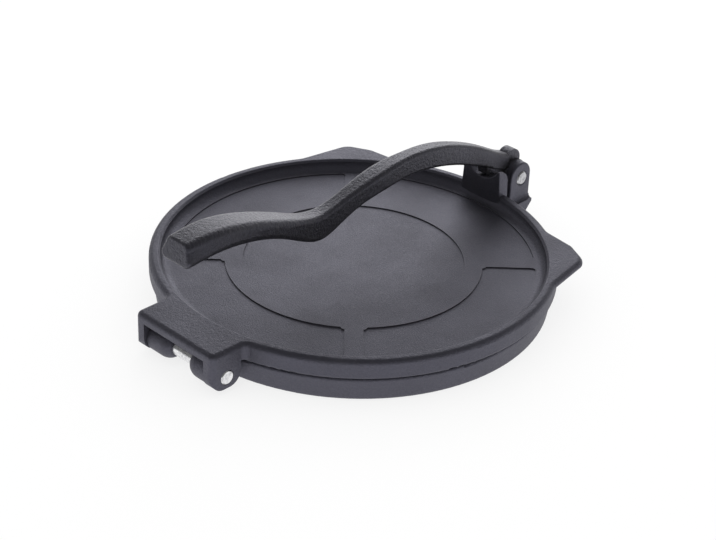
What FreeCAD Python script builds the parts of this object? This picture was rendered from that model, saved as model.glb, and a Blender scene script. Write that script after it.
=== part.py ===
import FreeCAD, Part
import math
import os
import re
import Sketcher
from FreeCAD import Vector

# A cast-iron tortilla press: a round base, a hinged lid and a lever that presses the lid down.
# Millimetres. The origin is on the table under the centre of the disc, +Z up, the hinge at -Y
# and the lever's pivot at +Y. The two castings and the lever are mirrored about the plane x = 0.

SIZES = (
    # fits and clearances
    ("pin_radius", 5, "hinge pin and lever pin"),
    ("running_gap", 0.05, "round a pin, in the bore that turns on it"),
    ("part_gap", 0.3, "between faces of pieces that move past each other"),
    ("press_gap", 0.9, "between the two pressing faces when the press is shut"),
    ("cut_over", 2, "how far a cut runs past the face it starts from"),
    ("seat_depth", 1.5, "how far an added form starts inside the form that carries it"),
    ("pin_proud", 0.4, "how far a pin's end stands out of its ear"),
    ("pin_chamfer", 0.8, "chamfer on a pin's end"),
    # base disc
    ("base_top", 16.8, "height of the base's pressing face"),
    ("base_inset", 2, "the base's upper edge inside the lid's rim"),
    ("base_draft", 2.4, "how far the base's side leans in down to its foot"),
    ("base_top_round", 2.2, "rounding of the base's upper edge"),
    ("base_foot_round", 3, "rounding of the base's lower edge"),
    ("base_thickness", 7, "plate under the pressing face"),
    ("skirt_width", 8, "wall round the hollow underside, at its foot"),
    ("skirt_draft", 2, "how much the skirt thickens up to the plate"),
    ("rib_width", 7, "crossing ribs in the hollow underside"),
    ("hub_radius", 16, "foot where the ribs cross"),
    # lid disc
    ("lid_depth", 13.1, "lid from its pressing face to the top of its rim"),
    ("lid_radius", 132.8, "lid over its rim"),
    ("lid_under_round", 1.8, "rounding of the lid's lower edge"),
    ("rim_round", 3.4, "rounding of the rim's upper outer edge"),
    ("rim_width", 5.9, "rim from its outer edge to the dish"),
    ("rim_inner_round", 0.8, "rounding of the rim's upper inner edge"),
    ("wall_lean", 1.5, "how far the dish's wall leans in"),
    ("ledge_round", 6, "hollow rounding at the foot of the dish's wall"),
    ("lid_thickness", 5.7, "plate at the spokes of the lid"),
    ("relief_depth", 0.7, "how far the panels lie under the spokes"),
    ("panel_margin", 1, "from the dish's hollow rounding in to the outer panels"),
    ("panel_width", 34.4, "outer panels from the dish's wall to the raised ring"),
    ("ring_width", 11.9, "raised ring round the middle panel"),
    ("panel_corner", 2.5, "rounding of the outer panels' corners"),
    ("spoke_half", 5.9, "half the width of a raised spoke"),
    # wings, one on each side of the lid near the lever's pivot, each with three edges: a back edge,
    # a short facet at its tip and a side edge, which lie at an angle and inside or outside the rim
    ("wing_thickness", 4.2, "wings and the flange of the rim"),
    ("wing_under_round", 0.6, "rounding of the flange's lower edge"),
    ("wing_back_angle", 6.5, "degrees from +Y to the normal of the wing's back edge"),
    ("wing_back_inset", 12, "back edge of the wing, further in than the rim"),
    ("wing_tip_angle", 26.5, "degrees from +Y to the normal of the wing's facet"),
    ("wing_tip_out", 7.8, "facet of the wing, further out than the rim"),
    ("wing_side_angle", 80.3, "degrees from +Y to the normal of the wing's side edge"),
    ("wing_side_inset", 7.2, "side edge of the wing, further in than the rim"),
    ("wing_tip_round", 11.4, "rounding from the wing's facet to its side edge"),
    ("wing_corner_round", 8, "rounding from the wing's facet to its back edge"),
    ("wing_root_round", 15, "hollow rounding from the wing to the rim"),
    # hinge
    ("hinge_out", 9.2, "hinge axis outside the lid's rim"),
    ("hinge_height", 12.15, "hinge axis over the table"),
    ("tab_nose", 11.6, "hinge tab in front of the hinge axis"),
    ("tab_half", 35.8, "half the width of the hinge tab"),
    ("tab_thickness", 6.1, "hinge tab"),
    ("tab_corner", 4.5, "rounding of the tab's corners"),
    ("tab_root_round", 5, "hollow rounding from the tab to the rim"),
    ("ear_thickness", 8.4, "the lid's hinge ears"),
    ("ear_foot_height", 4.5, "lowest point of the hinge ears over the table"),
    ("ear_back", 11, "hinge ears behind the hinge axis"),
    ("ear_foot_round", 9, "rounding of the ears' lower corners"),
    ("knuckle_radius", 9.5, "the base's hinge knuckles"),
    ("knuckle_inner", 9, "inner end of a knuckle from the middle plane"),
    ("knuckle_nose_radius", 6.2, "domed inner end of a knuckle, where it is smallest"),
    ("knuckle_dome", 7, "length of the domed inner end"),
    ("arm_inner", 17, "inner side of the arm that carries a knuckle"),
    # saddle on the lid's rim, which the lever's heel presses
    ("saddle_inset", 0.4, "back of the saddle inside the lid's rim"),
    ("saddle_thickness", 9, "saddle from front to back"),
    ("saddle_top", 49.2, "tips of the saddle over the table"),
    ("saddle_floor", 41, "bottom of the saddle's hollow over the table"),
    ("saddle_half", 16, "half the width of the saddle near its tips"),
    ("saddle_foot_half", 17, "half the width of the saddle at its foot"),
    ("saddle_tip", 1.5, "flat top of a tip"),
    ("saddle_edge", 0.9, "rounding of the saddle's edges"),
    # lever bracket on the base
    ("lever_out", 19.7, "lever pin outside the lid's rim"),
    ("lever_pin_height", 34.4, "lever pin over the table"),
    ("bracket_half", 13, "outer faces of the bracket's ears from the middle plane"),
    ("bracket_ear", 6.5, "thickness of one bracket ear"),
    ("bracket_radius", 10.3, "rounded top of a bracket ear"),
    ("bracket_rise", 1.6, "middle of the ear's rounded top over the pin"),
    ("bracket_edge", 1.2, "rounding of the ears' upper edges"),
    ("bracket_flare", 2.6, "hollow rounding from an ear's outer face to the neck"),
    ("neck_half", 16, "half the width of the neck under the ears"),
    ("neck_tail", 9.1, "end of the neck behind the lever pin"),
    ("neck_lip", 2, "upright end face of the neck"),
    ("neck_foot", 4, "underside of the neck over the table"),
    ("neck_slope", 9.5, "run of the sloping underside at the neck's end"),
    # lever
    ("lever_length", 305, "lever pin to the end of the grip, level"),
    ("lever_rise", 60.4, "top of the grip over the lever pin"),
    ("grip_half", 12, "half the grip's width"),
    ("grip_end_round", 2, "rounding of the grip's end face"),
    ("boss_radius", 11.5, "boss round the lever pin"),
    ("boss_edge", 0.8, "rounding of the boss's edges"),
    ("bump_radius", 8.4, "stop bump on the boss"),
    ("bump_half", 3.8, "half the width of the stop bump"),
    ("bump_forward", 1.5, "middle of the bump in front of the lever pin"),
    ("bump_above", 10.9, "middle of the bump over the lever pin"),
    ("heel_half", 4.2, "half the width of the heel that presses the saddle"),
    ("heel_gap", 0.6, "from the heel to the saddle's hollow"),
    ("heel_edge", 1.3, "rounding of the heel's lower edges"),
)

# The lever's cross sections from the end of the grip to the pin: distance from the pin, half width of
# the top, half width of the underside, top and underside over the pin, as shares of the lever's
# length, the grip's half width twice, and the lever's rise twice.
LEVER_SHARES = (
    (1.012, 0.87, 1.08, 0.969, 0.738),
    (0.966, 0.89, 1.06, 0.990, 0.739),
    (0.913, 0.98, 1.06, 1.000, 0.752),
    (0.854, 0.98, 1.02, 0.964, 0.727),
    (0.789, 0.92, 0.92, 0.877, 0.652),
    (0.723, 0.80, 0.80, 0.758, 0.525),
    (0.664, 0.62, 0.62, 0.647, 0.371),
    (0.618, 0.54, 0.54, 0.601, 0.301),
    (0.566, 0.48, 0.48, 0.639, 0.366),
    (0.507, 0.53, 0.53, 0.722, 0.490),
    (0.434, 0.61, 0.61, 0.803, 0.565),
    (0.356, 0.50, 0.50, 0.833, 0.593),
    (0.277, 0.49, 0.49, 0.806, 0.553),
    (0.198, 0.43, 0.43, 0.704, 0.449),
    (0.133, 0.44, 0.44, 0.573, 0.325),
    (0.074, 0.48, 0.48, 0.421, 0.190),
    (0.024, 0.49, 0.49, 0.300, 0.093),
)
# Rounding of the lever's long edges, as a share of its half width there.
LEVER_EDGE_SHARE = 0.45
# The slanted end of the grip: top and foot of the cut, as shares of the lever's length.
GRIP_TOP_SHARE = 0.987
GRIP_FOOT_SHARE = 1.0
# The heel's outline in front of the pin and over it, as shares of the distance from pin to saddle.
HEEL_SHARES = ((1.16, 0.58), (1.10, 0.34), (0.40, 0.02), (0.20, 0.20), (0.62, 0.58))
SPOKE_COUNT = 4  # spokes on the lid, and outer panels between them

os.makedirs("parts", exist_ok=True)
doc = FreeCAD.newDocument("TortillaPress")
sheet = doc.addObject("Spreadsheet::Sheet", "Sizes")
for row, (alias, value, meaning) in enumerate(SIZES, 1):
    sheet.set(f"A{row}", alias)
    sheet.set(f"B{row}", str(value))
    sheet.set(f"C{row}", meaning)
    sheet.setAlias(f"B{row}", alias)
doc.recompute()


def bound(text):
    """The expression with each name in it read from the sheet."""
    return re.sub(r"\b([a-z]+(?:_[a-z]+)+)\b", r"Sizes.\1", text)


def worth(text):
    """What an expression comes to now."""
    return float(sheet.evalExpression(bound(text)))


def new_body(label):
    """An empty body of its own, named after the piece."""
    body = doc.addObject("PartDesign::Body", label)
    body.Label = label
    return body


def new_sketch(body, name, role, shift=("0", "0", "0")):
    """A sketch on one of the body's own planes, shifted along the sketch's own axes."""
    sketch = body.newObject("Sketcher::SketchObject", name)
    plane = next(f for f in body.Origin.OriginFeatures if f.Role == role)
    sketch.AttachmentSupport = [(plane, "")]
    sketch.MapMode = "FlatFace"
    for axis, text in zip("xyz", shift):
        if text != "0":
            sketch.setExpression(f"AttachmentOffset.Base.{axis}", bound(text))
    return sketch


def hold(sketch, geometry, end, texts):
    """Fixes one end of an edge at the two expressions, measured from the sketch's origin."""
    for kind, axis, text in zip(("DistanceX", "DistanceY"), (-2, -1), texts):
        if text == "0":
            sketch.addConstraint(Sketcher.Constraint("PointOnObject", geometry, end, axis))
        else:
            rule = Sketcher.Constraint(kind, -1, 1, geometry, end, worth(text))
            index = sketch.addConstraint(rule)
            sketch.setExpression(f"Constraints[{index}]", bound(text))


def size_radius(sketch, geometry, text):
    """Fixes the radius of an arc or circle."""
    index = sketch.addConstraint(Sketcher.Constraint("Radius", geometry, worth(text)))
    sketch.setExpression(f"Constraints[{index}]", bound(text))


def arc_between(start, end, radius, left):
    """The short arc from start to end that turns left or right."""
    middle = (start + end) * 0.5
    chord = end - start
    across = Vector(-chord.y, chord.x, 0).normalize() * (1 if left else -1)
    centre = middle + across * math.sqrt(max(radius ** 2 - (chord.Length / 2) ** 2, 0))
    first, last = (start, end) if left else (end, start)
    angles = [math.atan2(p.y - centre.y, p.x - centre.x) for p in (first, last)]
    return Part.ArcOfCircle(Part.Circle(centre, Vector(0, 0, 1), radius), *angles)


def outline(sketch, points):
    """A closed outline. Each point is its two coordinates, and after them, where an arc leads on to
    the next point, the arc's radius and "left" or "right" for the way that it turns."""
    places = [Vector(worth(p[0]), worth(p[1]), 0) for p in points]
    ends = []
    for index, (_, _, *arc) in enumerate(points):
        start, end = places[index], places[(index + 1) % len(points)]
        if arc:
            left = arc[1] == "left"
            edge, order = arc_between(start, end, worth(arc[0]), left), (1, 2) if left else (2, 1)
        else:
            edge, order = Part.LineSegment(start, end), (1, 2)
        ends.append((sketch.addGeometry(edge, False), *order))
    for index, (edge, start, end) in enumerate(ends):
        following, first, _ = ends[(index + 1) % len(ends)]
        sketch.addConstraint(Sketcher.Constraint("Coincident", edge, end, following, first))
    for (edge, start, _), (x, y, *arc) in zip(ends, points):
        hold(sketch, edge, start, (x, y))
        if arc:
            size_radius(sketch, edge, arc[0])
    return sketch


def ring(sketch, centre, radius):
    """A circle in a sketch."""
    spot = Vector(worth(centre[0]), worth(centre[1]), 0)
    circle = sketch.addGeometry(Part.Circle(spot, Vector(0, 0, 1), worth(radius)), False)
    hold(sketch, circle, 3, centre)
    size_radius(sketch, circle, radius)
    return sketch


def extrude(body, sketch, name, length, cut=False, middle=False, back=False):
    """A pad, or a pocket where cut is set, over both sides of its sketch where middle is set."""
    feature = body.newObject("PartDesign::Pocket" if cut else "PartDesign::Pad", name)
    feature.Profile = sketch
    feature.setExpression("Length", bound(length))
    if middle:
        feature.SideType = "Symmetric"
    feature.Reversed = back
    doc.recompute()
    return feature


def turn(body, sketch, name, axis="V_Axis", cut=False):
    """A full revolution of its sketch, or a groove where cut is set."""
    feature = body.newObject("PartDesign::Groove" if cut else "PartDesign::Revolution", name)
    feature.Profile = sketch
    feature.ReferenceAxis = (sketch, [axis])
    feature.Angle = 360
    doc.recompute()
    return feature


def ease(body, name, radius, wanted, kind="Fillet"):
    """Rounds, or chamfers, the edges of the body so far that the test wants."""
    base = body.Tip
    names = [f"Edge{i}" for i, edge in enumerate(base.Shape.Edges, 1) if wanted(edge)]
    feature = body.newObject(f"PartDesign::{kind}", name)
    feature.Base = (base, names)
    feature.setExpression("Radius" if kind == "Fillet" else "Size", bound(radius))
    doc.recompute()
    return feature


NEAR = 1e-3  # how close an edge lies to a place to be taken for it


def at_height(text):
    """A test for edges that lie level at a height."""
    height = worth(text)
    return lambda edge: all(abs(z - height) < NEAR for z in (edge.BoundBox.ZMin, edge.BoundBox.ZMax))


def at_side(*texts):
    """A test for edges that lie in one of the planes at these distances on either side of x = 0."""
    sides = [worth(text) for text in texts]

    def wanted(edge):
        low, high = edge.BoundBox.XMin, edge.BoundBox.XMax
        return high - low < NEAR and any(abs(abs(low) - side) < NEAR for side in sides)

    return wanted


def mirrored(points):
    """An outline's right half and its mirror image, from the first point round to it again. An arc's
    radius and turn are given at its start, so the image takes them from the point before."""
    image = []
    for index in range(len(points) - 1, -1, -1):
        x, y = points[index][:2]
        arc = points[index - 1][2:] if index else ()
        image.append((f"-({x})", y, *arc))
    return [*points, *image]


def reflected(points):
    """The mirror image of an outline alone, with each arc turned the other way."""
    turns = {"left": "right", "right": "left"}
    return [(f"-({x})", y, *(turns.get(word, word) for word in arc)) for x, y, *arc in points]


# Heights and places that several features share
LID_UNDER = "(base_top + press_gap)"
LID_TOP = f"({LID_UNDER} + lid_depth)"
LID_BED = f"({LID_UNDER} + lid_thickness)"
FLANGE_UNDER = f"({LID_TOP} - wing_thickness)"
BASE_CEILING = "(base_top - base_thickness)"
BASE_RIM = "(lid_radius - base_inset)"
BASE_FOOT = f"({BASE_RIM} - base_draft)"
RIM_INNER = "(lid_radius - rim_width)"
HINGE_REACH = "(lid_radius + hinge_out)"
TAB_FRONT = f"({HINGE_REACH} + tab_nose)"
EAR_INNER = "(tab_half - ear_thickness)"
SADDLE_BACK = "(lid_radius - saddle_inset)"
LEVER_REACH = "(lid_radius + lever_out)"
NECK_END = f"({LEVER_REACH} + neck_tail)"
PIN_BORE = "(pin_radius + running_gap)"
LEVER_HALF = "(bracket_half - bracket_ear - part_gap)"

# The hollow rounding at the root of the hinge tab: where it leaves the tab, and where it meets the rim
ROOT_ALONG = "sqrt((lid_radius + tab_root_round)^2 - (tab_half + tab_root_round)^2)"
ROOT_SHARE = "(lid_radius / (lid_radius + tab_root_round))"
TAB_ROOT = ("tab_half", f"-{ROOT_ALONG}")
TAB_RIM = (f"(tab_half + tab_root_round) * {ROOT_SHARE}", f"-{ROOT_ALONG} * {ROOT_SHARE}")


def pin(label, half_length, reach, height):
    """A round steel pin along X with chamfered ends."""
    body = new_body(label)
    section = ring(new_sketch(body, f"{label}_section", "YZ_Plane"), (reach, height), "pin_radius")
    extrude(body, section, f"{label}_length", f"2 * ({half_length})", middle=True)
    ease(body, f"{label}_ends", "pin_chamfer", at_side(half_length), "Chamfer")
    return body


def base_disc(body):
    """The drafted disc with its hollow underside, the crossing ribs and the foot where they meet."""
    skirt = f"({BASE_FOOT} - skirt_width)"
    profile = [
        ("0", "base_top"),
        ("0", BASE_CEILING),
        (f"{skirt} - skirt_draft", BASE_CEILING),
        (skirt, "0"),
        (BASE_FOOT, "0"),
        (BASE_RIM, "base_top"),
    ]
    turn(body, outline(new_sketch(body, "disc_profile", "XZ_Plane"), profile), "disc")
    ease(body, "upper_edge", "base_top_round", at_height("base_top"))
    ease(body, "lower_edge", "base_foot_round", lambda edge: at_height("0")(edge)
         and edge.Curve.Radius > worth(f"{skirt} + skirt_draft"))
    reach, half, height = f"({skirt} + seat_depth)", "(rib_width / 2)", f"{BASE_CEILING} + seat_depth"
    for name, x, y in (("rib_across", reach, half), ("rib_along", half, reach)):
        corners = [(x, f"-{y}"), (x, y), (f"-{x}", y), (f"-{x}", f"-{y}")]
        extrude(body, outline(new_sketch(body, f"{name}_plan", "XY_Plane"), corners), name, height)
    extrude(body, ring(new_sketch(body, "hub_plan", "XY_Plane"), ("0", "0"), "hub_radius"), "hub", height)


def base_knuckles(body):
    """Two hinge knuckles with domed inner ends, on arms from the disc, bored for the hinge pin."""
    outer = f"({EAR_INNER} - part_gap)"
    foot = "(hinge_height - knuckle_radius)"
    root = f"({BASE_FOOT} - skirt_width / 2)"
    axis = (f"-{HINGE_REACH}", "hinge_height")
    arm = [
        (f"-{HINGE_REACH}", foot),
        (f"-{root}", foot),
        (f"-{root}", "base_top"),
        (f"knuckle_radius - {HINGE_REACH}", "base_top"),
        (f"-{HINGE_REACH}", "hinge_height + knuckle_radius"),
    ]
    dome = "(knuckle_inner + knuckle_dome)"
    bulge = "(knuckle_radius - knuckle_nose_radius)"
    for side, sign in (("right", ""), ("left", "-")):
        sketch = new_sketch(body, f"{side}_arm_side", "YZ_Plane", ("0", "0", f"{sign}arm_inner"))
        extrude(body, outline(sketch, arm), f"{side}_arm", f"{outer} - arm_inner", back=bool(sign))
        axle = new_sketch(body, f"{side}_knuckle_profile", "XY_Plane", ("0", *axis))
        radius = f"(knuckle_dome ^ 2 + {bulge} ^ 2) / (2 * {bulge})"
        barrel = [
            (f"{sign}knuckle_inner", "0"),
            (f"{sign}{outer}", "0"),
            (f"{sign}{outer}", "knuckle_radius"),
            (f"{sign}{dome}", "knuckle_radius", radius, "right" if sign else "left"),
            (f"{sign}knuckle_inner", "knuckle_nose_radius"),
        ]
        turn(body, outline(axle, barrel), f"{side}_knuckle", "H_Axis")
    bore = ring(new_sketch(body, "hinge_bore_section", "YZ_Plane"), axis, PIN_BORE)
    extrude(body, bore, "hinge_bore", f"2 * ({outer} + cut_over)", cut=True, middle=True)


def lever_bracket(body):
    """The neck behind the disc with two ears for the lever pin, flared at their feet."""
    root = f"({BASE_FOOT} - skirt_width / 2)"
    neck = [
        (root, "neck_foot"),
        (f"{NECK_END} - neck_slope", "neck_foot"),
        (NECK_END, "base_top - neck_lip"),
        (NECK_END, "base_top"),
        (root, "base_top"),
    ]
    sketch = outline(new_sketch(body, "neck_side", "YZ_Plane"), neck)
    extrude(body, sketch, "neck", "2 * neck_half", middle=True)
    centre = "(lever_pin_height + bracket_rise)"
    ear = [
        (f"{NECK_END} - 2 * bracket_radius", "base_top - seat_depth"),
        (NECK_END, "base_top - seat_depth"),
        (NECK_END, centre, "bracket_radius", "left"),
        (f"{NECK_END} - bracket_radius", f"{centre} + bracket_radius", "bracket_radius", "left"),
        (f"{NECK_END} - 2 * bracket_radius", centre),
    ]
    for side, sign in (("right", ""), ("left", "-")):
        shift = f"{sign}(bracket_half - bracket_ear)"
        sketch = new_sketch(body, f"{side}_ear_side", "YZ_Plane", ("0", "0", shift))
        extrude(body, outline(sketch, ear), f"{side}_ear", "bracket_ear", back=bool(sign))
    axis = (LEVER_REACH, "lever_pin_height")
    bore = ring(new_sketch(body, "pin_seat_section", "YZ_Plane"), axis, "pin_radius")
    extrude(body, bore, "pin_seat", "2 * (bracket_half + cut_over)", cut=True, middle=True)
    outer, middle = at_side("bracket_half"), worth(centre)
    ease(body, "ear_edges", "bracket_edge", lambda edge: outer(edge) and edge.BoundBox.ZMax > middle + NEAR)
    flare = [
        ("bracket_half - seat_depth", "base_top - seat_depth"),
        ("bracket_half + bracket_flare", "base_top - seat_depth"),
        ("bracket_half + bracket_flare", "base_top", "bracket_flare", "right"),
        ("bracket_half", "base_top + bracket_flare"),
        ("bracket_half - seat_depth", "base_top + bracket_flare"),
    ]
    for side, points in (("right", flare), ("left", reflected(flare))):
        sketch = new_sketch(body, f"{side}_flare_face", "XZ_Plane", ("0", "0", f"-{NECK_END}"))
        extrude(body, outline(sketch, points), f"{side}_flare", "2 * bracket_radius")


def base_plate():
    """The base casting: disc, knuckles and lever bracket in one."""
    body = new_body("base_plate")
    base_disc(body)
    base_knuckles(body)
    lever_bracket(body)
    return body


def lid_flange(body):
    """The rim's flange with the two wings and the hinge tab, cut from one plan."""
    offsets = {
        "back": "(lid_radius - wing_back_inset)",
        "tip": "(lid_radius + wing_tip_out)",
        "side": "(lid_radius - wing_side_inset)",
    }
    root_share = "(lid_radius / (lid_radius + wing_root_round))"

    def root(name, way):
        """Where a wing's edge leaves its root rounding, and where that rounding leaves the rim."""
        angle = f"wing_{name}_angle"
        outer = f"({offsets[name]} + wing_root_round)"
        along = f"({way}sqrt((lid_radius + wing_root_round)^2 - {outer}^2))"
        spots = []
        for out in (offsets[name], outer):
            x = f"({out} * sin({angle}) + {along} * cos({angle}))"
            y = f"({out} * cos({angle}) - {along} * sin({angle}))"
            spots.append((x, y))
        straight, (x, y) = spots
        return straight, (f"{x} * {root_share}", f"{y} * {root_share}")

    def corner(names, rounding):
        """The two ends of the rounding between two of the wing's edges."""
        angles = [f"wing_{name}_angle" for name in names]
        (near, far), (turn_near, turn_far) = [f"({offsets[name]} - {rounding})" for name in names], angles
        turned = f"sin({turn_near} - {turn_far})"
        x = f"(({near} * cos({turn_far}) - {far} * cos({turn_near})) / {turned})"
        y = f"(({far} * sin({turn_near}) - {near} * sin({turn_far})) / {turned})"
        return [(f"{x} + {rounding} * sin({angle})", f"{y} + {rounding} * cos({angle})") for angle in angles]

    side_straight, side_rim = root("side", "-")
    back_straight, back_rim = root("back", "")
    tip_start, tip_end = corner(("side", "tip"), "wing_tip_round")
    corner_start, corner_end = corner(("tip", "back"), "wing_corner_round")
    half = [
        ("tab_half - tab_corner", f"-{TAB_FRONT}", "tab_corner", "left"),
        ("tab_half", f"tab_corner - {TAB_FRONT}"),
        (*TAB_ROOT, "tab_root_round", "right"),
        (*TAB_RIM, "lid_radius", "left"),
        (*side_rim, "wing_root_round", "right"),
        side_straight,
        (*tip_start, "wing_tip_round", "left"),
        tip_end,
        (*corner_start, "wing_corner_round", "left"),
        corner_end,
        (*back_straight, "wing_root_round", "right"),
        (*back_rim, "lid_radius", "left"),
    ]
    plan = outline(new_sketch(body, "flange_plan", "XY_Plane", ("0", "0", FLANGE_UNDER)), mirrored(half))
    extrude(body, plan, "flange", "wing_thickness")
    ease(body, "flange_top_edge", "rim_round", at_height(LID_TOP))
    ease(body, "flange_lower_edge", "wing_under_round", at_height(FLANGE_UNDER))


def lid_dish(body):
    """The plate under the flange and the dish in its top, with a hollow rounding round the bed."""
    under = [
        ("0", LID_UNDER),
        ("lid_radius - lid_under_round", LID_UNDER, "lid_under_round", "left"),
        ("lid_radius", f"{LID_UNDER} + lid_under_round"),
        ("lid_radius", f"{FLANGE_UNDER} + wing_under_round"),
        (RIM_INNER, f"{LID_TOP} - seat_depth"),
        ("0", f"{LID_TOP} - seat_depth"),
    ]
    turn(body, outline(new_sketch(body, "plate_profile", "XZ_Plane"), under), "plate")
    wall = f"({RIM_INNER} - wall_lean)"
    dish = [
        ("0", LID_BED),
        (f"{wall} - ledge_round", LID_BED, "ledge_round", "left"),
        (wall, f"{LID_BED} + ledge_round"),
        (RIM_INNER, LID_TOP),
        (RIM_INNER, f"{LID_TOP} + cut_over"),
        ("0", f"{LID_TOP} + cut_over"),
    ]
    turn(body, outline(new_sketch(body, "dish_profile", "XZ_Plane"), dish), "dish", cut=True)
    inner, level = worth(RIM_INNER), at_height(LID_TOP)
    ease(body, "rim_inner_edge", "rim_inner_round", lambda edge: level(edge)
         and hasattr(edge.Curve, "Radius") and abs(edge.Curve.Radius - inner) < NEAR)


def lid_relief(body):
    """A round panel and four outer ones, sunk so that a ring and four spokes stand between them."""
    height = ("0", "0", LID_BED)
    panel_radius = f"({RIM_INNER} - wall_lean - ledge_round - panel_margin)"
    ring_radius = f"({panel_radius} - panel_width)"
    disc_radius = f"({ring_radius} - ring_width)"
    middle = ring(new_sketch(body, "middle_panel_plan", "XY_Plane", height), ("0", "0"), disc_radius)
    extrude(body, middle, "middle_panel", "relief_depth", cut=True)
    aside = "(spoke_half + panel_corner)"
    outer_along = f"sqrt(({panel_radius} - panel_corner)^2 - {aside}^2)"
    inner_along = f"sqrt(({ring_radius} + panel_corner)^2 - {aside}^2)"
    outer_share = f"({panel_radius} / ({panel_radius} - panel_corner))"
    inner_share = f"({ring_radius} / ({ring_radius} + panel_corner))"

    def placed(along, across, sign):
        """A place beside the spoke at 45 degrees on one side of the X axis."""
        return f"({along} + {across}) / sqrt(2)", f"{sign}({along} - {across}) / sqrt(2)"

    # from the inner end of the spoke on the -Y side outwards, and back along the spoke on the +Y side
    panel = [
        (*placed(f"{inner_along} * {inner_share}", f"{aside} * {inner_share}", "-"), "panel_corner", "right"),
        placed(inner_along, "spoke_half", "-"),
        (*placed(outer_along, "spoke_half", "-"), "panel_corner", "left"),
        (*placed(f"{outer_along} * {outer_share}", f"{aside} * {outer_share}", "-"), panel_radius, "left"),
        (*placed(f"{outer_along} * {outer_share}", f"{aside} * {outer_share}", ""), "panel_corner", "left"),
        placed(outer_along, "spoke_half", ""),
        (*placed(inner_along, "spoke_half", ""), "panel_corner", "right"),
        (*placed(f"{inner_along} * {inner_share}", f"{aside} * {inner_share}", ""), ring_radius, "right"),
    ]
    plan = outline(new_sketch(body, "outer_panel_plan", "XY_Plane", height), panel)
    pocket = extrude(body, plan, "outer_panel", "relief_depth", cut=True)
    pattern = body.newObject("PartDesign::PolarPattern", "outer_panels")
    pattern.Originals = [pocket]
    pattern.Axis = (plan, ["N_Axis"])
    pattern.Angle = 360
    pattern.Occurrences = SPOKE_COUNT
    body.Tip = pattern
    doc.recompute()


def lid_hinge(body):
    """The thick hinge tab and its two ears, webbed to the rim and bored to hold the hinge pin."""
    top = f"({FLANGE_UNDER} + wing_under_round)"
    root = f"({RIM_INNER} + seat_depth)"
    block = [
        ("tab_half", f"-{root}"),
        ("-tab_half", f"-{root}"),
        ("-tab_half", f"tab_corner - {TAB_FRONT}", "tab_corner", "left"),
        ("tab_corner - tab_half", f"-{TAB_FRONT}"),
        ("tab_half - tab_corner", f"-{TAB_FRONT}", "tab_corner", "left"),
        ("tab_half", f"tab_corner - {TAB_FRONT}"),
    ]
    under = f"({LID_TOP} - tab_thickness)"
    plan = outline(new_sketch(body, "tab_plan", "XY_Plane", ("0", "0", under)), block)
    extrude(body, plan, "tab", f"{top} - {under}")
    back = f"(ear_back - {HINGE_REACH})"
    ear = [
        (EAR_INNER, f"-{TAB_FRONT}"),
        ("tab_half - tab_corner", f"-{TAB_FRONT}", "tab_corner", "left"),
        ("tab_half", f"tab_corner - {TAB_FRONT}"),
        ("tab_half", back),
        (EAR_INNER, back),
    ]
    web_foot = f"({LID_UNDER} + lid_under_round)"
    web = [
        (EAR_INNER, f"-{ROOT_ALONG}"),
        (*TAB_ROOT, "tab_root_round", "right"),
        TAB_RIM,
        (EAR_INNER, f"-{RIM_INNER}"),
    ]
    for name, points, foot in (("ear", ear, "ear_foot_height"), ("web", web, web_foot)):
        for side, half in (("right", points), ("left", reflected(points))):
            sketch = new_sketch(body, f"{side}_{name}_plan", "XY_Plane", ("0", "0", foot))
            extrude(body, outline(sketch, half), f"{side}_{name}", f"{top} - {foot}")
    around = [
        (f"-{TAB_FRONT}", "ear_foot_height + ear_foot_round", "ear_foot_round", "left"),
        (f"ear_foot_round - {TAB_FRONT}", "ear_foot_height"),
        (f"{back} - ear_foot_round", "ear_foot_height", "ear_foot_round", "left"),
        (back, "ear_foot_height + ear_foot_round"),
        (f"{back} + cut_over", "ear_foot_height + ear_foot_round"),
        (f"{back} + cut_over", "ear_foot_height - cut_over"),
        (f"-{TAB_FRONT} - cut_over", "ear_foot_height - cut_over"),
        (f"-{TAB_FRONT} - cut_over", "ear_foot_height + ear_foot_round"),
    ]
    feet = outline(new_sketch(body, "ear_feet_side", "YZ_Plane"), around)
    extrude(body, feet, "ear_feet", "2 * (tab_half + cut_over)", cut=True, middle=True)
    axis = (f"-{HINGE_REACH}", "hinge_height")
    seat = ring(new_sketch(body, "pin_seat_section", "YZ_Plane"), axis, "pin_radius")
    extrude(body, seat, "pin_seat", "2 * (tab_half + cut_over)", cut=True, middle=True)


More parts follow.
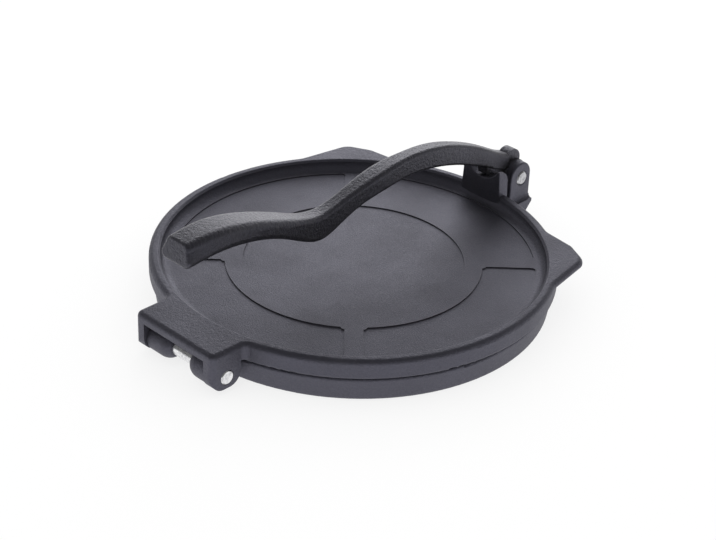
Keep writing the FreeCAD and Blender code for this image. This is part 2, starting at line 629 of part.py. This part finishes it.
def lid_saddle(body):
    """The forked saddle on the rim: a hollow between two tips, rounded off towards the back."""
    hollow_half = "(saddle_half - saddle_tip)"
    depth = "(saddle_top - saddle_floor)"
    radius = f"({hollow_half}^2 + {depth}^2) / (2 * {depth})"
    foot = f"({LID_BED} + seat_depth)"
    face = [
        ("saddle_foot_half", foot),
        ("saddle_foot_half", LID_TOP),
        ("saddle_half", "saddle_top"),
        (hollow_half, "saddle_top", radius, "right"),
        ("0", "saddle_floor", radius, "right"),
        (f"-{hollow_half}", "saddle_top"),
        ("-saddle_half", "saddle_top"),
        ("-saddle_foot_half", LID_TOP),
        ("-saddle_foot_half", foot),
    ]
    sketch = outline(new_sketch(body, "saddle_face", "XZ_Plane", ("0", "0", f"-{SADDLE_BACK}")), face)
    extrude(body, sketch, "saddle", "saddle_thickness")
    back = [
        (f"{SADDLE_BACK} + cut_over", "saddle_floor"),
        (f"{SADDLE_BACK} + cut_over", "saddle_top + cut_over"),
        (f"{SADDLE_BACK} - {depth}", "saddle_top + cut_over"),
        (f"{SADDLE_BACK} - {depth}", "saddle_top", depth, "right"),
        (SADDLE_BACK, "saddle_floor"),
    ]
    sketch = outline(new_sketch(body, "saddle_back_side", "YZ_Plane"), back)
    extrude(body, sketch, "saddle_rounding", "2 * (saddle_foot_half + cut_over)", cut=True, middle=True)
    front, rim = worth(f"{SADDLE_BACK} - saddle_thickness"), worth(LID_TOP)

    def front_edge(edge):
        box = edge.BoundBox
        return abs(box.YMin - front) < NEAR and abs(box.YMax - front) < NEAR and box.ZMax > rim + NEAR

    ease(body, "saddle_edges", "saddle_edge", front_edge)


def lid_plate():
    """The lid casting: dish, wings, hinge tab with ears, and saddle in one."""
    body = new_body("lid_plate")
    lid_flange(body)
    lid_dish(body)
    lid_relief(body)
    lid_hinge(body)
    lid_saddle(body)
    return body


def lever_arm(body):
    """The swept arm: rounded sections from the end of the grip to the pin, and the slanted end."""
    sections = []
    for number, (along, upper, lower, over, under) in enumerate(LEVER_SHARES, 1):
        top_half, foot_half = (f"({share} * grip_half)" for share in (upper, lower))
        edge = f"({LEVER_EDGE_SHARE} * {top_half})"
        low, high = (f"(lever_pin_height + {share} * lever_rise)" for share in (under, over))
        right = [
            (f"{foot_half} - {edge}", low, edge, "left"),
            (foot_half, f"{low} + {edge}"),
            (top_half, f"{high} - {edge}", edge, "left"),
            (f"{top_half} - {edge}", high),
        ]
        place = ("0", "0", f"{along} * lever_length - {LEVER_REACH}")
        sketch = new_sketch(body, f"section_{number}", "XZ_Plane", place)
        sections.append(outline(sketch, mirrored(right)))
    arm = body.newObject("PartDesign::AdditiveLoft", "arm")
    arm.Profile = sections[0]
    arm.Sections = sections[1:]
    doc.recompute()
    top, foot = (f"({LEVER_REACH} - {share} * lever_length)" for share in (GRIP_TOP_SHARE, GRIP_FOOT_SHARE))
    low = f"(lever_pin_height + {LEVER_SHARES[0][-1]} * lever_rise)"
    end = [
        (top, "lever_pin_height + lever_rise"),
        (f"{top} - grip_half", "lever_pin_height + lever_rise"),
        (f"{top} - grip_half", f"{low} - cut_over"),
        (foot, f"{low} - cut_over"),
    ]
    sketch = outline(new_sketch(body, "grip_end_side", "YZ_Plane"), end)
    extrude(body, sketch, "grip_end", "2 * (grip_half + cut_over)", cut=True, middle=True)
    slant = worth(foot) - NEAR, worth(top) + NEAR

    def end_face(edge):
        return slant[0] - worth("grip_end_round") < edge.BoundBox.YMin and edge.BoundBox.YMax < slant[1]

    ease(body, "grip_end_edge", "grip_end_round", end_face)


def lever_heel(body):
    """The narrow heel in front of the boss, a little way over the saddle's hollow."""
    heel_under = "(saddle_floor + heel_gap - lever_pin_height)"
    reach = "(lever_out + saddle_inset + saddle_thickness / 2)"
    toe = "(lever_out + saddle_inset - part_gap)"
    heel = [(f"{LEVER_REACH} - {along} * {reach}", f"lever_pin_height + {over} * {reach}")
            for along, over in HEEL_SHARES]
    heel[2:2] = [
        (f"{LEVER_REACH} - {reach}", f"lever_pin_height + {heel_under}"),
        (f"{LEVER_REACH} - {toe} + heel_edge", f"lever_pin_height + {heel_under}"),
    ]
    sketch = outline(new_sketch(body, "heel_side", "YZ_Plane"), heel)
    extrude(body, sketch, "heel", "2 * heel_half", middle=True)
    aside, under = at_side("heel_half"), at_height(f"lever_pin_height + {heel_under}")
    ease(body, "heel_edges", "heel_edge", lambda edge: aside(edge) and under(edge))


def lever():
    """The lever casting: boss, heel, arm with grip, and stop bump in one, bored for its pin."""
    body = new_body("lever")
    pivot = (LEVER_REACH, "lever_pin_height")
    sketch = ring(new_sketch(body, "boss_side", "YZ_Plane"), pivot, "boss_radius")
    extrude(body, sketch, "boss", f"2 * {LEVER_HALF}", middle=True)
    ease(body, "boss_edges", "boss_edge", at_side(LEVER_HALF))
    lever_heel(body)
    lever_arm(body)
    bump = (f"{LEVER_REACH} - bump_forward", "lever_pin_height + bump_above")
    sketch = ring(new_sketch(body, "bump_side", "YZ_Plane"), bump, "bump_radius")
    extrude(body, sketch, "bump", "2 * bump_half", middle=True)
    sketch = ring(new_sketch(body, "bore_side", "YZ_Plane"), pivot, PIN_BORE)
    extrude(body, sketch, "bore", f"2 * ({LEVER_HALF} + cut_over)", cut=True, middle=True)
    return body


ADDED = ("Pad", "Revolution", "AdditiveLoft")
REMOVED = ("Pocket", "Groove", "PolarPattern")


def faults(bodies):
    """Each object that failed, each feature that changed nothing, and each piece that isn't one solid."""
    found = [f"{o.Name}: {o.State}" for o in doc.Objects if {"Invalid", "Error"} & set(o.State)]
    for body in bodies:
        if body.Shape.isNull() or not body.Shape.isValid() or len(body.Shape.Solids) != 1:
            found.append(f"{body.Label}: not one valid solid")
            continue
        before = 0
        for feature in body.Group:
            kind = feature.TypeId.split("::")[-1]
            if kind not in (*ADDED, *REMOVED, "Fillet", "Chamfer"):
                continue
            volume = feature.Shape.Volume
            if (kind in ADDED and volume <= before) or (kind in REMOVED and volume >= before):
                found.append(f"{body.Label}.{feature.Name}: {before:.1f} to {volume:.1f}")
            before = volume
    return found


pieces = [
    base_plate(),
    lid_plate(),
    lever(),
    pin("hinge_pin", "tab_half + pin_proud", f"-{HINGE_REACH}", "hinge_height"),
    pin("lever_pin", "bracket_half + pin_proud", LEVER_REACH, "lever_pin_height"),
]
doc.recompute()
problems = faults(pieces)
if problems:
    raise RuntimeError("; ".join(problems))
for piece in pieces:
    piece.Shape.exportStep(f"parts/{piece.Label}.step")
    print(piece.Label, round(piece.Shape.Volume / 1000, 1), "cubic centimetres")
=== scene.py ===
import math

import bpy
from mathutils import Matrix, Vector


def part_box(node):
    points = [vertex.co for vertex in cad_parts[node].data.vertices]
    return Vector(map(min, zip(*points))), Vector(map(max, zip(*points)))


# A seasoned cast-iron tortilla press with turned steel pins, on a white studio floor.
# Metres, in the part's own frame: +Z up, the lid's hinge at -Y and the lever's pivot at +Y.

MM = 0.001
WHITE = (1, 1, 1, 1)
ACROSS_Z = (1, 1, 0)
ACROSS_X = (0, 1, 1)

# Camera
TARGET = Vector((-0.0148, 0.0201, 0))
CAMERA_DISTANCE = 1.2278
CAMERA_AZIMUTH = math.radians(43.587)
CAMERA_ELEVATION = math.radians(30.654)
CAMERA_ROLL = math.radians(2.382)
LENS = 92.13
SENSOR_WIDTH = 36

# Room: light falls evenly, and reflections see it white low down beyond the press, else dim.
# Both spans go from dim to white, TURN with the part of a direction that points beyond the
# press and RISE with the part that points up.
ROOM_LEVEL = 1.0
ROOM_DIM = 0.16
ROOM_FAR = (-0.69, 0.72, 0)
TURN_SPAN = (0, 0.95)
RISE_SPAN = (0.80, 0.10)

# Floor
FLOOR_RADIUS = 5
FLOOR_SIDES = 96
FLOOR_WHITE = (0.97, 0.97, 0.97, 1)
FLOOR_GLOW = 0.80

# Soft boxes: place, size and power
SOFT_BOXES = {
    "back_box": ((-0.52, 0.58, 0.36), 0.55, 1.9),
}

# Noises: size, detail and roughness
PATCHES = (35 * MM, 4, 0.6)
MOTTLES = (4 * MM, 3, 0.6)
HOLLOWS = (14 * MM, 2, 0.5)
PEBBLES = (2 * MM, 2, 0.5)
GRAIN = (0.9 * MM, 3, 0.65)
DULL_PATCHES = (2.5 * MM, 3, 0.6)
PITS = (0.5 * MM, 2, 0.5)
NOISE_SPAN = (0.3, 0.7)

# Cast iron
IRON_BLACK = (0.009, 0.009, 0.010, 1)
IRON_BROWN = (0.022, 0.020, 0.014, 1)
IRON_TINT = (0.79, 0.78, 1.0, 1)
PATCH_SPAN = (0.35, 0.75)
PATCH_ROUGHNESS = 0.04
MOTTLE_SPAN = (0.4, 0.8)
MOTTLE_BROWN = 0.25
GRAIN_ROUGHNESS = 0.08
HOLLOW_DEPTH = 0.15 * MM
WORN_REACH = 1.2 * MM
WORN_SAMPLES = 6
WORN_SPAN = (0.995, 0.90)
WORN_BROWN = 0.5

# What differs from casting to casting; the lid has no pebbles on its dish
BASE_IRON = {
    "roughness": 0.54,
    "ior": 2.1,
    "brown": 0.35,
    "grain_depth": 0.30 * MM,
    "pebble_depth": 0.30 * MM,
}
LID_IRON = {
    "roughness": 0.54,
    "ior": 2.1,
    "brown": 0.30,
    "grain_depth": 0.26 * MM,
    "pebble_depth": 0.30 * MM,
    "smooth_radius": 119 * MM,
}
LEVER_IRON = {
    "roughness": 0.38,
    "ior": 1.76,
    "brown": 0.35,
    "grain_depth": 0.36 * MM,
    "pebble_depth": 0.50 * MM,
}
PEBBLE_FADE = 2 * MM

# Steel: how bright each pin is where it is bare, and where it is dull. Both pins are one steel, with
# painted light making the hinge pin brighter and painted shade making the lever pin darker.
PIN_STEEL_AND_PAINTED_LIGHT = {
    "hinge_pin": ((0.88, 0.88, 0.89, 1), (0.50, 0.50, 0.52, 1)),
    "lever_pin": ((0.52, 0.52, 0.54, 1), (0.24, 0.24, 0.25, 1)),
}
DULL_SPAN = (0.45, 0.75)
STEEL_ROUGHNESS = (0.16, 0.34)
STEEL_DEPTH = 0.02 * MM
RING_PITCH = 0.45 * MM


def node(tree, kind, inputs=None, **settings):
    """A node with its settings, each input given a value or linked to another node's output."""
    made = tree.nodes.new(kind)
    for name, value in settings.items():
        setattr(made, name, value)
    for key, value in (inputs or {}).items():
        if isinstance(value, bpy.types.NodeSocket):
            tree.links.new(value, made.inputs[key])
        else:
            made.inputs[key].default_value = value
    return made


def noise(tree, place, size, detail, roughness):
    """Noise whose features are about that size in metres."""
    inputs = {"Vector": place, "Scale": 1 / size, "Detail": detail, "Roughness": roughness}
    return node(tree, "ShaderNodeTexNoise", inputs).outputs["Fac"]


def remap(tree, value, low, high, to_low=0, to_high=1, **settings):
    """A value taken from one range to another and kept inside it."""
    inputs = {"Value": value, "From Min": low, "From Max": high, "To Min": to_low, "To Max": to_high}
    return node(tree, "ShaderNodeMapRange", inputs, **settings).outputs["Result"]


def ease(tree, value, low, high):
    """0 to 1 in a smooth curve as the value goes from low to high."""
    return remap(tree, value, low, high, interpolation_type="SMOOTHSTEP")


def reckon(tree, operation, *values):
    """One sum, product or other operation on numbers."""
    return node(tree, "ShaderNodeMath", dict(enumerate(values)), operation=operation).outputs[0]


def reckon_vector(tree, operation, *values, output="Vector"):
    """One operation on vectors, whose output is a vector or the number named Value."""
    made = node(tree, "ShaderNodeVectorMath", dict(enumerate(values)), operation=operation)
    return made.outputs[output]


def distance(tree, place, across):
    """How far a place is from an axis through the origin, given the directions across the axis."""
    flat = reckon_vector(tree, "MULTIPLY", place, across)
    return reckon_vector(tree, "LENGTH", flat, output="Value")


def mix_colour(tree, share, first, second):
    """The first colour where share is 0 and the second where it is 1."""
    # This node's colours are its inputs 6 and 7 and its output 2
    made = node(tree, "ShaderNodeMix", {0: share, 6: first, 7: second}, data_type="RGBA")
    return made.outputs[2]


def bump(tree, height, depth, under=None):
    """A bumped normal from a height of 0 to 1, that many metres deep."""
    inputs = {"Height": height, "Distance": depth, "Strength": 1}
    if under is not None:
        inputs["Normal"] = under
    return node(tree, "ShaderNodeBump", inputs).outputs["Normal"]


def blank_tree(owner):
    """The emptied node tree of a material or a world."""
    owner.use_nodes = True
    owner.node_tree.nodes.clear()
    return owner.node_tree


def new_material(name):
    """An empty material with its tree, and the object's own coordinates."""
    material = bpy.data.materials.new(name)
    tree = blank_tree(material)
    place = node(tree, "ShaderNodeTexCoord").outputs["Object"]
    return material, tree, place


def surface(tree, inputs):
    """The material's one shader."""
    shader = node(tree, "ShaderNodeBsdfPrincipled", inputs)
    node(tree, "ShaderNodeOutputMaterial", {"Surface": shader.outputs["BSDF"]})


def worn_edges(tree):
    """1 on edges that are sharper than a rounding of the worn reach, 0 on flats."""
    rounded = node(tree, "ShaderNodeBevel", {"Radius": WORN_REACH}, samples=WORN_SAMPLES)
    true = node(tree, "ShaderNodeNewGeometry")
    normals = rounded.outputs["Normal"], true.outputs["Normal"]
    alike = reckon_vector(tree, "DOT_PRODUCT", *normals, output="Value")
    return remap(tree, alike, *WORN_SPAN)


def iron_colour(tree, place, patches, brown):
    """Near black, browner in patches and mottles and along worn edges."""
    mottles = noise(tree, place, *MOTTLES)
    seasoning = reckon(tree, "ADD", remap(tree, patches, *PATCH_SPAN, 0, brown),
                       remap(tree, mottles, *MOTTLE_SPAN, 0, MOTTLE_BROWN))
    colour = mix_colour(tree, seasoning, IRON_BLACK, IRON_BROWN)
    worn = reckon(tree, "MULTIPLY", worn_edges(tree), WORN_BROWN)
    return mix_colour(tree, worn, colour, IRON_BROWN)


def pebbles(tree, place, smooth_radius):
    """Pebbly casting skin, left out within the smooth radius of the upright axis."""
    radius = distance(tree, place, ACROSS_Z)
    outside = ease(tree, radius, smooth_radius - PEBBLE_FADE, smooth_radius + PEBBLE_FADE)
    return reckon(tree, "MULTIPLY", noise(tree, place, *PEBBLES), outside)


def cast_iron(name, roughness, ior, brown, grain_depth, pebble_depth, smooth_radius=0):
    """Seasoned cast iron: hollows, pebbles, grain, patches in the seasoning and worn edges."""
    material, tree, place = new_material(name)
    patches = noise(tree, place, *PATCHES)
    grain = noise(tree, place, *GRAIN)
    low, high = roughness - PATCH_ROUGHNESS, roughness + PATCH_ROUGHNESS
    rough = reckon(tree, "ADD", remap(tree, patches, *NOISE_SPAN, low, high),
                   remap(tree, grain, *NOISE_SPAN, -GRAIN_ROUGHNESS, GRAIN_ROUGHNESS))
    normal = bump(tree, noise(tree, place, *HOLLOWS), HOLLOW_DEPTH)
    normal = bump(tree, pebbles(tree, place, smooth_radius), pebble_depth, normal)
    normal = bump(tree, grain, grain_depth, normal)
    surface(tree, {
        "Base Color": iron_colour(tree, place, patches, brown),
        "Roughness": rough,
        "IOR": ior,
        "Specular Tint": IRON_TINT,
        "Normal": normal,
    })
    return material


def turned_steel(name, axis_place, bare, dull):
    """A steel pin along X: turning rings round its axis, fine pits and dull patches, in bare and
    dull colours that carry painted light and shade.
    """
    material, tree, place = new_material(name)
    radius = distance(tree, reckon_vector(tree, "SUBTRACT", place, axis_place), ACROSS_X)
    rings = reckon(tree, "SINE", reckon(tree, "MULTIPLY", radius, 2 * math.pi / RING_PITCH))
    height = reckon(tree, "ADD", remap(tree, rings, -1, 1), noise(tree, place, *PITS))
    patches = noise(tree, place, *DULL_PATCHES)
    surface(tree, {
        "Base Color": mix_colour(tree, remap(tree, patches, *DULL_SPAN), bare, dull),
        "Metallic": 1,
        "Roughness": remap(tree, patches, *NOISE_SPAN, *STEEL_ROUGHNESS),
        "Normal": bump(tree, height, STEEL_DEPTH),
    })
    return material


def paint(name, material):
    """Gives a CAD node its finish."""
    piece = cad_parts[name]
    if not piece.material_slots:
        piece.data.materials.append(material)
    for slot in piece.material_slots:
        slot.material = material


def axle(name):
    """A point on a pin's axis."""
    low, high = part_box(name)
    return (low + high) / 2


def seen(tree):
    """1 for what is seen direct, in a reflection or through glass, 0 for light on a surface."""
    rays = node(tree, "ShaderNodeLightPath").outputs
    either = reckon(tree, "MAXIMUM", rays["Is Camera Ray"], rays["Is Glossy Ray"])
    return reckon(tree, "MAXIMUM", either, rays["Is Transmission Ray"])


def white_room():
    """A room that is white to the camera, lights evenly and is partly dim in reflections."""
    world = bpy.data.worlds.new("room")
    bpy.context.scene.world = world
    tree = blank_tree(world)
    way = node(tree, "ShaderNodeTexCoord").outputs["Generated"]
    turn = reckon_vector(tree, "DOT_PRODUCT", way, ROOM_FAR, output="Value")
    rise = node(tree, "ShaderNodeSeparateXYZ", {0: way}).outputs["Z"]
    white = reckon(tree, "MULTIPLY", ease(tree, turn, *TURN_SPAN), ease(tree, rise, *RISE_SPAN))
    rays = node(tree, "ShaderNodeLightPath").outputs
    shine = reckon(tree, "MAXIMUM", remap(tree, white, 0, 1, ROOM_DIM), rays["Is Camera Ray"])
    soft = reckon(tree, "MULTIPLY", rays["Is Diffuse Ray"], ROOM_LEVEL)
    level = reckon(tree, "MAXIMUM", soft, reckon(tree, "MULTIPLY", seen(tree), shine))
    back = node(tree, "ShaderNodeBackground", {"Color": WHITE, "Strength": level})
    node(tree, "ShaderNodeOutputWorld", {"Surface": back.outputs[0]})


def white_floor():
    """A large round floor that looks white and still takes the press's shadow."""
    bpy.ops.mesh.primitive_circle_add(vertices=FLOOR_SIDES, radius=FLOOR_RADIUS, fill_type="NGON")
    floor = bpy.context.object
    floor.name = "floor"
    material = bpy.data.materials.new("floor_white")
    tree = blank_tree(material)
    matt = node(tree, "ShaderNodeBsdfDiffuse", {"Color": FLOOR_WHITE})
    glow = node(tree, "ShaderNodeEmission", {"Color": WHITE, "Strength": 1})
    share = reckon(tree, "MULTIPLY", seen(tree), FLOOR_GLOW)
    both = node(tree, "ShaderNodeMixShader", {0: share, 1: matt.outputs[0], 2: glow.outputs[0]})
    node(tree, "ShaderNodeOutputMaterial", {"Surface": both.outputs[0]})
    floor.data.materials.append(material)


def soft_box(name, place, size, power):
    """A square soft box that faces the press."""
    light = bpy.data.lights.new(name, "AREA")
    light.energy = power
    light.size = size
    box = bpy.data.objects.new(name, light)
    bpy.context.scene.collection.objects.link(box)
    box.location = place
    box.rotation_euler = (TARGET - Vector(place)).to_track_quat("-Z", "Y").to_euler()


def camera():
    """A long lens from the front right, a little rolled."""
    back = Vector((
        math.sin(CAMERA_AZIMUTH) * math.cos(CAMERA_ELEVATION),
        -math.cos(CAMERA_AZIMUTH) * math.cos(CAMERA_ELEVATION),
        math.sin(CAMERA_ELEVATION),
    ))
    data = bpy.data.cameras.new("camera")
    data.sensor_width = SENSOR_WIDTH
    data.lens = LENS
    eye = bpy.data.objects.new("camera", data)
    bpy.context.scene.collection.objects.link(eye)
    level = (-back).to_track_quat("-Z", "Y").to_matrix().to_4x4()
    place = Matrix.Translation(TARGET + back * CAMERA_DISTANCE)
    eye.matrix_world = place @ level @ Matrix.Rotation(CAMERA_ROLL, 4, "Z")
    bpy.context.scene.camera = eye


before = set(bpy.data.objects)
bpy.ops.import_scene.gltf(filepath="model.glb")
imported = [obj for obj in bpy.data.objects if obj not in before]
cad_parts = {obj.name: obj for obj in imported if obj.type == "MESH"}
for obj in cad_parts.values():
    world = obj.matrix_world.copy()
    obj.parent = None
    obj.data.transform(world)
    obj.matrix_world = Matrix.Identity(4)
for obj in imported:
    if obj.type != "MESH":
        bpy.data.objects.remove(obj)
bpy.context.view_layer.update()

paint("base_plate", cast_iron("iron_base", **BASE_IRON))
paint("lid_plate", cast_iron("iron_lid", **LID_IRON))
paint("lever", cast_iron("iron_lever", **LEVER_IRON))
# Each pin gets the one steel with its own painted light and shade
for pin, steels in PIN_STEEL_AND_PAINTED_LIGHT.items():
    paint(pin, turned_steel(f"steel_{pin}", axle(pin), *steels))

white_room()
white_floor()
for box_name, settings in SOFT_BOXES.items():
    soft_box(box_name, *settings)
camera()
bpy.context.scene.view_settings.view_transform = "Standard"
